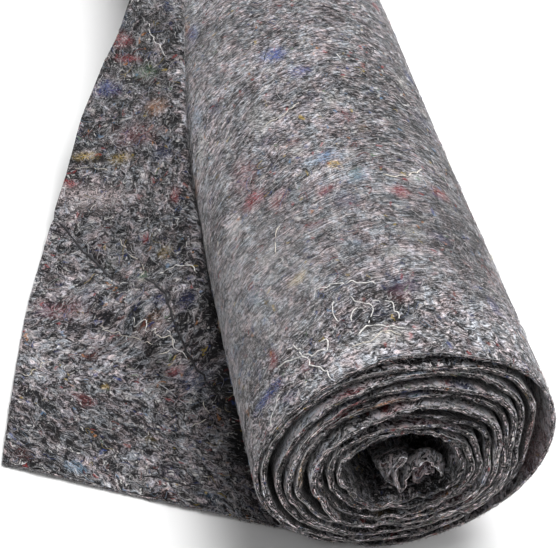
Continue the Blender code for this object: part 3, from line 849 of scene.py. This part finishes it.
class Network:
    """A new material and the nodes of its shader."""

    def __init__(self, name):
        self.material = bpy.data.materials.new(name)
        self.material.use_nodes = True
        self.tree = self.material.node_tree
        self.shader = self.tree.nodes["Principled BSDF"].inputs

    def fill(self, socket, value):
        """Set an input, or link it to what other nodes work out."""
        value = getattr(value, "socket", value)
        if isinstance(value, bpy.types.NodeSocket):
            self.tree.links.new(value, socket)
        else:
            socket.default_value = value

    def node(self, kind, inputs, **settings):
        """The outputs of a new node, with its settings set and its inputs set or linked."""
        node = self.tree.nodes.new(kind)
        for name, value in settings.items():
            setattr(node, name, value)
        for name, value in inputs.items():
            self.fill(node.inputs[name], value)
        return node.outputs

    def value(self, kind, inputs, **settings):
        return Value(self, self.node(kind, inputs, **settings)[0])

    def attribute(self, name, output):
        return self.node("ShaderNodeAttribute", {}, attribute_name=name)[output]

    def maths(self, operation, first, second=0.0):
        return self.value("ShaderNodeMath", {0: first, 1: second}, operation=operation)

    def vector(self, operation, first, second):
        return self.node("ShaderNodeVectorMath", {0: first, 1: second}, operation=operation)[0]

    def combined(self, *parts):
        return self.node("ShaderNodeCombineXYZ", dict(enumerate(parts)))[0]

    def mixed(self, share, first, second, blend="MIX"):
        settings = {"data_type": "RGBA", "blend_type": blend}
        return self.node("ShaderNodeMix", {0: share, 6: first, 7: second}, **settings)[2]

    def noise_outputs(self, place, scale, detail, roughness):
        inputs = {"Vector": place, "Scale": scale, "Detail": detail, "Roughness": roughness}
        return self.node("ShaderNodeTexNoise", inputs)

    def noise(self, place, scale, detail=2.0, roughness=0.55):
        return Value(self, self.noise_outputs(place, scale, detail, roughness)[0])

    def push(self, place, scale, detail, reach):
        """Uneven pushes along the cloth and in from its edge, of up to about half the reach."""
        colour = self.noise_outputs(place, scale, detail, 0.55)[1]
        return self.vector("MULTIPLY", self.vector("SUBTRACT", colour, (0.5, 0.5, 0.5)), (reach, reach, 0.0))

    def bent(self, flat, place, *pushes):
        """Places pushed about, by rows of (scale, detail, reach), which makes the laid fibres curl."""
        for scale, detail, reach in pushes:
            place = self.vector("ADD", place, self.push(flat, scale, detail, reach))
        return place

    def laid(self, place, heading, across, along, seed):
        """Places drawn out along one heading, with a scale across and a coarser one along."""
        inputs = {
            "Vector": place,
            "Location": (seed, seed * 0.37, 0.0),
            "Rotation": (0.0, 0.0, heading),
            "Scale": (1.0 / along, 1.0 / across, 1.0 / across),
        }
        return self.node("ShaderNodeMapping", inputs, vector_type="TEXTURE")[0]

    def streaks(self, place, shorten, *laid):
        """Uneven lightness drawn out along one heading, as laid fibres are."""
        return self.noise(self.vector("MULTIPLY", self.laid(place, *laid), shorten), 1.0, 2.0, 0.6)

    def fibre_lines(self, place, thin, thick, *laid):
        """Fine curly fibres, mostly along one heading, as a mask."""
        return abs(self.noise(self.laid(place, *laid), 1.0, 1.5, 0.5) - 0.5).ranged(thick, thin)

    def ramp(self, value, stops, interpolation="LINEAR"):
        """The colour for a value, from (position, colour) stops."""
        node = self.tree.nodes.new("ShaderNodeValToRGB")
        node.color_ramp.interpolation = interpolation
        while len(node.color_ramp.elements) < len(stops):
            node.color_ramp.elements.new(0.5)
        for element, (position, colour) in zip(node.color_ramp.elements, stops):
            element.position = position
            element.color = (*colour, 1)
        self.fill(node.inputs[0], value)
        return node.outputs[0]

    def cells(self, place, scale):
        """Scattered cells: the distance from the middle of each, and two numbers that each has to itself."""
        cell = self.node("ShaderNodeTexVoronoi", {"Vector": place, "Scale": scale, "Randomness": 1.0})
        parts = self.node("ShaderNodeSeparateColor", {"Color": cell["Color"]})
        return [Value(self, socket) for socket in (cell["Distance"], parts[0], parts[1])]

    def lint(self, place, scale, rarity, low, high):
        """Scattered tufts of coloured lint, as a mask and a colour."""
        away, first, second = self.cells(place, scale)
        return away.ranged(high, low) * first.above(rarity), self.ramp(second, LINT_COLOURS, "CONSTANT")

    def within(self, place, area, low, high, most):
        """Mask of an oval area of the cloth, fading from its middle to its rim."""
        away = self.vector("SUBTRACT", place, (area.along, area.inwards, OUTER_LEVEL * area.on_roll))
        away = self.vector("MULTIPLY", away, (1 / area.half_along, 1 / area.half_in, 8.0))
        reach = self.node("ShaderNodeVectorMath", {0: away}, operation="LENGTH")["Value"]
        return Value(self, reach).ranged(high, low, 0.0, most)


# Lightness of the felt from its darkest to its palest fibres, as (position, value)
FELT_TONES = ((0.04, 0.012), (0.28, 0.062), (0.50, 0.172), (0.72, 0.320), (0.98, 0.680))

# Colours of small lint, as (position, colour)
LINT_COLOURS = (
    (0.00, (0.030, 0.055, 0.200)), (0.16, (0.020, 0.025, 0.090)), (0.26, (0.300, 0.030, 0.030)),
    (0.42, (0.210, 0.060, 0.050)), (0.52, (0.420, 0.300, 0.060)), (0.60, (0.450, 0.180, 0.050)),
    (0.68, (0.140, 0.260, 0.420)), (0.76, (0.080, 0.170, 0.070)), (0.82, (0.620, 0.600, 0.580)),
)

# Smears of lint that stand out, in the cloth's own measures: 1 on an outer face or 0 on an inner face or cut
# edge, then in millimetres along the cloth from the bottom of the roll, in from its near edge and half the
# smear's size each way, then its colour and its share in percent
BLUE, NAVY, SKY, GREEN = (0.04, 0.08, 0.33), (0.02, 0.03, 0.11), (0.28, 0.42, 0.58), (0.10, 0.20, 0.09)
RED, ROSE, OCHRE = (0.36, 0.03, 0.04), (0.30, 0.11, 0.12), (0.55, 0.38, 0.10)
ORANGE, PALE, PINK = (0.60, 0.24, 0.07), (0.78, 0.77, 0.76), (0.72, 0.60, 0.60)
Smear = namedtuple("Smear", "on_roll along inwards half_along half_in colour share")
SMEAR_ROWS = (
    (1, 441, 378, 11, 10, BLUE, 85), (1, 422, 345, 10, 8, BLUE, 45), (1, 518, 484, 8, 14, BLUE, 70),
    (1, 535, 30, 20, 6, BLUE, 75), (1, 512, 12, 12, 6, NAVY, 70), (1, 420, 172, 12, 10, NAVY, 45),
    (1, 399, 70, 14, 10, NAVY, 55), (1, 300, 300, 20, 14, NAVY, 35), (1, 496, 216, 11, 9, RED, 75),
    (1, 498, 250, 16, 20, ROSE, 45), (1, 370, 178, 7, 7, RED, 75), (1, 518, 54, 6, 9, RED, 70),
    (1, 488, 25, 5, 5, ROSE, 70), (1, 396, 274, 10, 8, ROSE, 50), (1, 434, 188, 8, 5, RED, 50),
    (1, 325, 190, 10, 8, RED, 45), (1, 420, 214, 6, 4, OCHRE, 80), (1, 475, 109, 9, 4, OCHRE, 55),
    (1, 425, 226, 20, 6, SKY, 55), (1, 404, 198, 10, 8, SKY, 60), (1, 541, 376, 10, 16, SKY, 55),
    (1, 522, 500, 4, 6, ORANGE, 80), (1, 430, 22, 26, 8, PALE, 55), (1, 547, 327, 5, 12, PALE, 80),
    (1, 522, 206, 9, 14, PALE, 50), (1, 470, 300, 12, 20, PALE, 40), (0, -286, 452, 14, 4, RED, 65),
    (0, -322, 322, 10, 5, RED, 70), (0, -236, 261, 4, 4, RED, 75), (0, -202, 304, 5, 9, RED, 60),
    (0, -290, 185, 22, 8, ROSE, 55), (0, -156, 145, 6, 4, RED, 50), (0, -256, 372, 22, 12, ROSE, 45),
    (0, -204, 198, 8, 7, NAVY, 65), (0, -176, 197, 8, 7, NAVY, 65), (0, -138, 140, 14, 10, NAVY, 50),
    (0, -306, 352, 12, 5, OCHRE, 60), (0, -207, 112, 4, 4, OCHRE, 65), (0, -236, 12, 8, 5, SKY, 60),
    (0, -231, 224, 5, 6, GREEN, 60), (0, -210, 246, 8, 6, OCHRE, 35), (0, -292, 308, 40, 13, PINK, 55),
    (0, -215, 452, 6, 8, ORANGE, 55), (0, 190, 20, 40, 20, ROSE, 75), (0, 965, 10, 30, 22, RED, 45),
    (0, 980, 6, 12, 10, ORANGE, 35), (0, 6205, 4, 24, 20, ROSE, 70), (1, 6205, 4, 24, 20, ROSE, 60),
    (1, 2366, 9, 9, 10, NAVY, 90), (1, 2964, 10, 12, 9, BLUE, 80), (1, 2454, 8, 13, 8, NAVY, 75),
    (1, 2338, 12, 8, 8, PALE, 90), (0, 2454, 0, 11, 6, RED, 85), (1, 3024, 6, 12, 9, RED, 85),
    (0, 2984, 1, 14, 6, ORANGE, 75), (0, 3084, 1, 16, 8, OCHRE, 60), (1, 1906, 10, 40, 14, SKY, 30),
    (0, 3354, 1, 10, 7, PALE, 75), (1, 1962, 8, 18, 10, RED, 50), (1, 2850, 6, 14, 10, RED, 55),
    (1, 4185, 6, 12, 8, RED, 75), (1, 2794, 8, 12, 7, PALE, 75), (1, 2400, 8, 22, 10, PINK, 45),
    (0, 2890, 0, 12, 6, PALE, 60), (1, 4313, 4, 30, 10, ROSE, 45), (0, 3759, 10, 10, 7, RED, 70),
    (0, 4118, 10, 12, 8, OCHRE, 45), (1, 1846, 1, 14, 6, RED, 55), (0, -300, 470, 12, 8, RED, 55),
    (0, -262, 440, 12, 8, GREEN, 55), (0, -300, 420, 14, 8, BLUE, 50), (0, -240, 400, 10, 8, ORANGE, 50),
    (0, -268, 350, 12, 6, OCHRE, 55), (0, -222, 352, 10, 8, NAVY, 55),
)
SMEARS = [Smear(face, *metres(sizes), colour, share / 100) for face, *sizes, colour, share in SMEAR_ROWS]

# Broad areas that are darker or paler than the rest, in the same measures, and by how much in percent. Many
# of them are painted shade and painted light, listed below
ToneAndPaintedLight = namedtuple("ToneAndPaintedLight", "on_roll along inwards half_along half_in shift")
TONE_AND_PAINTED_LIGHT_ROWS = (
    # Painted light: the tail at (6100, 10), the crescent at the right of the near end at (235, 15), the bands
    # of the near end's turns at (1820, 2), (2400, 4) and (3430, 4), the roll's left side at (565, 200) and
    # the loose end beside the valley at (-132, 110)
    # Painted shade: the roll's shadow in the valley where the loose end meets it, at (-60, 70), (-91, 80),
    # (-99, 120), (-114, 150), (-132, 174), (-153, 204) and (-120, 100), and the dark inside of the eye at
    # (4550, 200); the top of the loose end at (-250, 480) and (-290, 440) is darker, partly its own tone and
    # partly painted shade
    (1, 325, 270, 65, 300, -15), (1, 565, 200, 80, 400, 7), (1, 440, 200, 50, 120, 4),
    (1, 480, 520, 80, 100, 5), (0, -120, 100, 50, 110, -5), (0, -250, 30, 110, 60, -10),
    (0, -250, 480, 90, 110, -10), (0, -190, 300, 50, 120, -6), (0, -270, 150, 60, 50, 5),
    (0, -60, 70, 30, 150, -34), (0, 4550, 200, 450, 320, -34), (1, 6100, 10, 190, 50, 36),
    (0, 6100, 10, 190, 50, 36), (1, 440, 40, 300, 30, -4), (0, -290, 440, 70, 100, -10),
    (0, -91, 80, 12, 45, -45), (0, 235, 15, 70, 50, 32), (0, 960, 10, 80, 30, 12),
    (1, 3430, 4, 180, 26, 34), (1, 2400, 4, 260, 20, 16), (0, -99, 120, 11, 24, -50),
    (0, -114, 150, 11, 22, -50), (0, -132, 174, 11, 22, -45), (0, -153, 204, 11, 30, -35),
    (0, -132, 110, 26, 80, 7), (1, 330, 300, 80, 400, -3), (1, 1820, 2, 160, 16, 18),
    (1, 1906, 10, 80, 20, 20),
)
TONE_AND_PAINTED_LIGHT = [ToneAndPaintedLight(face, *metres(sizes), shift / 100) for face, *sizes, shift in TONE_AND_PAINTED_LIGHT_ROWS]

# The outer face's places lie this far off the inner face's in the felt's pattern
OUTER_LEVEL = 0.4
FACE_LIMIT = 0.97
INNER_LEAN = 0.15

# Laid fibres as heading in radians, scale across, scale along and seed
LAID_STRAIGHT = (0.00, 800, 115, 3.1)
LAID_LEFT = (0.50, 950, 160, 7.7)
LAID_RIGHT = (-0.45, 700, 105, 9.3)
HAIRS = (-0.25, 300, 60, 11.9)
CRACKS = (0.9, 210, 120, 17.3)
EDGE_GRIT = (0.0, 1000, 62, 5.3)
# The next row sets where the painted highlight on the cut edges' outer corners lies and where it breaks off
CORNER_HIGHLIGHT_RUNS = (0.0, 300, 48, 8.1)

# Colours of the felt's parts, of the painted shade between turns and of the painted highlight on the cut
# edges' corners, and tints that its colour is multiplied by
PIT, CRACK, GAP_SHADE = (0.014, 0.013, 0.016, 1), (0.016, 0.015, 0.018, 1), (0.010, 0.009, 0.011, 1)
HAIR, NEP, CORNER_HIGHLIGHT = (0.66, 0.65, 0.66, 1), (0.80, 0.78, 0.76, 1), (0.82, 0.81, 0.80, 1)
BLUISH, REDDISH = (0.94, 0.965, 1.05, 1), (1.06, 0.965, 0.975, 1)
COOL_STAIN, WARM_STAIN = (0.97, 1.00, 1.01, 1), (1.05, 0.975, 0.985, 1)
GRIT_DARK, GRIT_PALE = (0.04, 0.035, 0.035, 1), (3.10, 2.96, 2.88, 1)


def felt_tone(net, layers, inner):
    """Lightness about 0.5, from rows of (value, weight on the outer face, weight on the inner face)."""
    total = 0.5
    for value, outer_weight, inner_weight in layers:
        total = (value - 0.5) * ((inner_weight - outer_weight) * inner + outer_weight) + total
    return total


def felt_material():
    """Felt pressed from shredded mixed waste fibres: short dark and pale fibres, clumps and coloured lint,
    with painted light and shade laid over them.
    """
    net = Network("mixed_fibre_felt")
    mark = net.node("ShaderNodeSeparateXYZ", {0: net.attribute("cloth", "Vector")})
    along, inwards, side = (Value(net, part) for part in mark)
    inner = net.maths("LESS_THAN", side, -FACE_LIMIT)
    outer = side.above(FACE_LIMIT)
    edge = 1.0 - inner - outer
    flat = net.combined(along, inwards, 0.0022 * side + OUTER_LEVEL * outer)
    from_middle = abs(inwards - ROLL_LENGTH / 2)
    curled = inner.largest(from_middle.ranged(0.28, 0.46, 0.0, 0.75))

    turn = {"Vector": flat, "Angle": INNER_LEAN * inner}
    turned = net.node("ShaderNodeVectorRotate", turn, rotation_type="Z_AXIS")[0]
    place = net.bent(flat, turned, (7.0, 1.0, 0.055), (42.0, 2.0, 0.0085), (210.0, 2.0, 0.0016))
    swirl = {0: net.push(flat, 105.0, 2.0, 0.012), "Scale": curled}
    place = net.vector("ADD", place, net.node("ShaderNodeVectorMath", swirl, operation="SCALE")[0])
    shorten = net.combined(1.4 * inner + (0.6 * curled + 1.0), 1.0, 1.0)
    clump = net.noise(place, 270.0, 2.0, 0.6)
    blotch = net.noise(place, 75.0, 3.0, 0.6)
    grain = net.noise(flat, 1000.0, 1.0, 0.6)
    laid_left = net.streaks(place, shorten, *LAID_LEFT)
    tone = felt_tone(net, (
        (net.streaks(place, shorten, *LAID_STRAIGHT), 1.30, 0.60), (laid_left, 1.00, 0.70),
        (net.streaks(place, shorten, *LAID_RIGHT), 0.90, 0.65), (grain, 0.50, 0.85), (clump, 0.75, 1.30),
        (blotch, 0.70, 1.15), (net.noise(flat, 12.0, 2.0, 0.5), 0.45, 0.35),
    ), inner)

    wound_inside = along.above(0.78)
    rough = from_middle.ranged(0.470, 0.488) * (1.10 * wound_inside + 0.15)
    contrast = 0.10 * inner + 1.15 + rough + 0.40 * curled + along.ranged(0.47, 0.60, 0.0, 0.35)
    contrast = contrast + inner * inwards.ranged(0.25, 0.45, 0.0, 0.4)
    tone = (tone - 0.5) * contrast + 0.475 - 0.095 * inner
    tone = tone - (tone - 0.52).largest(0.0) * (0.42 * inner)
    # Painted light and shade, and other darker and paler areas, from the table above
    for shade in TONE_AND_PAINTED_LIGHT:
        tone = tone + net.within(flat, shade, 0.2, 1.3, shade.shift)
    colour = net.ramp(tone, [(position, (value, value, value)) for position, value in FELT_TONES])

    dark_share = 0.55 * inner + 0.35
    pits = clump.ranged(0.42, 0.33) * dark_share
    hair = net.fibre_lines(place, 0.003, 0.020, *HAIRS) * net.noise(flat, 130.0, 1.0).ranged(0.50, 0.66)
    crack = net.fibre_lines(place, 0.002, 0.020, *CRACKS) * net.noise(flat, 70.0, 1.0).ranged(0.43, 0.54)
    tint = net.mixed(net.noise(place, 230.0, 1.0).ranged(0.36, 0.64), BLUISH, REDDISH)
    stain = net.mixed(net.noise(place, 52.0, 2.0).ranged(0.40, 0.60), COOL_STAIN, WARM_STAIN)
    colour = net.mixed(1.0, colour, net.vector("MULTIPLY", tint, stain), "MULTIPLY")
    colour = net.mixed(pits, colour, PIT)
    colour = net.mixed(crack * dark_share, colour, CRACK)
    colour = net.mixed(0.55 * hair, colour, HAIR)

    fibrous = laid_left.ranged(0.44, 0.60, 0.12, 1.0)
    strewn = net.bent(flat, place, (120.0, 2.0, 0.012))
    tufts, tuft_colour = net.lint(strewn, 40.0, 0.80, 0.05, 0.55)
    specks, speck_colour = net.lint(strewn, 210.0, 0.84, 0.15, 0.50)
    colour = net.mixed(tufts * fibrous * (0.60 - 0.25 * inner), colour, tuft_colour)
    colour = net.mixed(specks * (0.30 * edge + 0.55), colour, speck_colour)
    wander = net.bent(flat, flat, (60.0, 2.0, 0.012), (260.0, 1.0, 0.004))
    for smear in SMEARS:
        share = net.within(wander, smear, 0.2, 1.6, smear.share) * fibrous
        colour = net.mixed(share, colour, (*smear.colour, 1))
    away, _, chance = net.cells(strewn, 290.0)
    neps = chance.above(0.86) * away.ranged(0.42, 0.15)
    colour = net.mixed(neps * (0.42 * rough + (0.25 * inner + 0.30)), colour, NEP)

    edge_place = net.combined(along, 0.0026 * side, inwards)
    grit = net.noise(net.laid(edge_place, *EDGE_GRIT), 1.0, 3.0, 0.65)
    edge_tone = net.mixed(grit.ranged(0.45, 0.60), GRIT_DARK, GRIT_PALE)
    edge_tone = net.vector("MULTIPLY", edge_tone, side.ranged(-1.0, -0.25, 0.30, 1.0))
    edge_colour = net.mixed(1.0, colour, edge_tone, "MULTIPLY")
    # Painted highlight along the outer corners of the cut edges, broken along its length
    runs = net.noise(net.laid(edge_place, *CORNER_HIGHLIGHT_RUNS), 1.0, 3.0, 0.6).ranged(0.43, 0.57, 0.08, 0.92)
    edge_colour = net.mixed(side.ranged(0.60, 0.92) * runs, edge_colour, CORNER_HIGHLIGHT)
    colour = net.mixed(edge, colour, edge_colour)
    # Painted shade in the gaps between turns and on recessed cut edges
    colour = net.mixed(0.93 * Value(net, net.attribute("painted_gap_shade", "Fac")), colour, GAP_SHADE)

    height = 0.5 * hair + (1.3 * blotch + (tone + 1.2 * clump))
    bump = net.node("ShaderNodeBump", {"Height": height, "Strength": 0.7, "Distance": 0.0010})
    net.fill(net.shader["Base Color"], colour)
    net.fill(net.shader["Normal"], bump[0])
    net.fill(net.shader["Roughness"], grain.ranged(0.3, 0.7, 0.86, 0.98))
    net.shader["Specular IOR Level"].default_value = 0.2
    net.shader["Sheen Weight"].default_value = 0.45
    net.shader["Sheen Roughness"].default_value = 0.16
    return net.material


def fibre_and_strip_material():
    """Loose fibres, threads and the strips of painted crease shadow, each in its own colour, a little uneven
    along its length.
    """
    net = Network("fibre_and_shadow_strip")
    place = net.node("ShaderNodeTexCoord", {})["Object"]
    uneven = net.noise(place, 420.0, 2.0).ranged(0.32, 0.68)
    tint = net.mixed(uneven, (0.62, 0.61, 0.62, 1), (1.12, 1.11, 1.10, 1))
    colour = net.mixed(1.0, net.attribute("strand_tone", "Color"), tint, "MULTIPLY")
    net.fill(net.shader["Base Color"], colour)
    net.fill(net.shader["Roughness"], uneven.ranged(0.0, 1.0, 0.70, 0.90))
    net.shader["Specular IOR Level"].default_value = 0.25
    net.shader["Sheen Weight"].default_value = 0.2
    return net.material


def finish_piece(thing, material):
    thing.data.materials.append(material)
    face_outwards(thing)
    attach(thing, "root")


def build_cloth():
    felt, fibre_and_strip = felt_material(), fibre_and_strip_material()
    wrap = outer_wrap()
    turns = inner_turns()
    tail, tail_length = inner_tail()
    for sheet in (wrap, turns, tail):
        finish_piece(sheet.thing, felt)
        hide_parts("wound_fleece")
    for thing in (threads_and_crease_shadows(wrap), surface_fibres(wrap), edge_fibres(wrap, turns)):
        finish_piece(thing, fibre_and_strip)
    tail_length = round(tail_length, 2)
    tail_area = round(TAIL_MEAN_WIDTH * tail_length, 3)


FLOOR_REACH = 6.0
FLOOR_DROP = 0.0004
FLOOR_PAINT = (0.90, 0.90, 0.90, 1.0)


def add_floor():
    corners = FLOOR_REACH * np.array([(-1.0, -1.0, 0.0), (1.0, -1.0, 0.0), (1.0, 1.0, 0.0), (-1.0, 1.0, 0.0)])
    floor = new_thing("floor", corners, [(0, 1, 2, 3)])
    floor.location.z = -FLOOR_DROP
    net = Network("floor_white")
    net.shader["Base Color"].default_value = FLOOR_PAINT
    net.shader["Roughness"].default_value = 0.9
    net.shader["Specular IOR Level"].default_value = 0.0
    floor.data.materials.append(net.material)


Lamp = namedtuple("Lamp", "name place target size power")
LAMPS = (
    Lamp("key", (0.40, 0.25, 2.8), (0.0, -0.1, 0.1), 1.8, 114.0),
    Lamp("fill", (-2.4, -0.9, 1.9), (0.0, -0.3, 0.1), 1.6, 9.0),
    Lamp("rim", (2.1, 0.9, 0.26), (0.1, 0.0, 0.12), 0.9, 56.0),
)
WORLD_STRENGTH = 0.24


def add_light():
    """Soft lamps over the roll, at its left and low at its right, and an even white surround."""
    for lamp in LAMPS:
        light = bpy.data.lights.new(lamp.name, "AREA")
        light.shape = "SQUARE"
        light.size = lamp.size
        light.energy = lamp.power
        thing = bpy.data.objects.new(lamp.name, light)
        thing.location = lamp.place
        towards = Vector(lamp.target) - Vector(lamp.place)
        thing.rotation_euler = towards.to_track_quat("-Z", "Y").to_euler()
        bpy.context.scene.collection.objects.link(thing)
    world = bpy.data.worlds.new("studio")
    world.use_nodes = True
    back = world.node_tree.nodes["Background"]
    back.inputs["Color"].default_value = (1.0, 1.0, 1.0, 1.0)
    back.inputs["Strength"].default_value = WORLD_STRENGTH
    bpy.context.scene.world = world


def add_camera():
    """The camera fitted to the photo, in heights of the roll's axis from the foot of its near end."""
    right = (0.96298, -0.18921, 0.19202)
    down = Vector((0.00585, -0.69745, -0.71661))
    forward = Vector((0.26951, 0.6912, -0.67052))
    data = bpy.data.cameras.new("camera")
    data.sensor_width = 36.0
    data.lens = 84.46
    data.clip_start = 0.05
    data.clip_end = 50.0
    camera = bpy.data.objects.new("camera", data)
    place = Vector((-3.0687, -4.8668, 7.3582))
    matrix = Matrix((right, -down, -forward)).transposed().to_4x4()
    matrix.translation = place * AXIS_HEIGHT + Vector((0, NEAR_Y, 0))
    camera.matrix_world = matrix
    bpy.context.scene.collection.objects.link(camera)
    bpy.context.scene.camera = camera


bpy.context.scene.view_settings.view_transform = "Standard"
build_cloth()
add_floor()
add_light()
add_camera()
